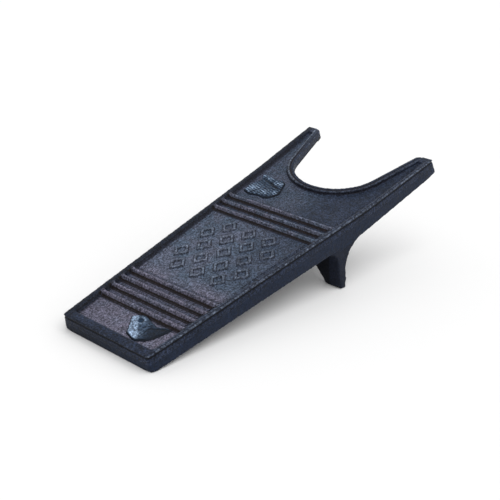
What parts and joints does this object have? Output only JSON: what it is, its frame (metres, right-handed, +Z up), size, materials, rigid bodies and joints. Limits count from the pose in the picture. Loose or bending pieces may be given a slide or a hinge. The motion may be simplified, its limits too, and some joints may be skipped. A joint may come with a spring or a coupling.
{
  "type": "boot jack",
  "caption": "Cast-iron boot jack: a sloping tread with a raised border, ribbed bands and a forked heel notch, held up at the rear by two feet under an arched web.",
  "frame": {"origin": "centre of the bounding box, at floor level", "axes": "+X along the tread from its low front edge towards the heel notch, +Y towards the left side as seen from the front edge, +Z up"},
  "size_m": [0.29, 0.12, 0.075],
  "materials": {
    "panel": "satin blue-black paint, worn to a purple-brown sheen",
    "border": "semi-gloss blue-black paint over cast iron",
    "rib": "semi-gloss blue-black paint, worn on the tops",
    "relief": "worn blue-grey paint",
    "wall": "satin blue-black paint",
    "foot": "satin blue-black paint"
  },
  "bodies": {
    "root": {"tread_plate": "panel", "front_rim": "border", "left_rim": "border", "right_rim": "border", "notch_rim": "border", "front_ribs": "rib", "rear_ribs": "rib", "duck_relief": "relief", "hound_relief": "relief", "front_wall": "wall", "left_wall": "wall", "right_wall": "wall", "left_tip": "border", "right_tip": "border", "leg_web": "foot", "left_leg": "foot", "right_leg": "foot"}
  },
  "joints": []
}
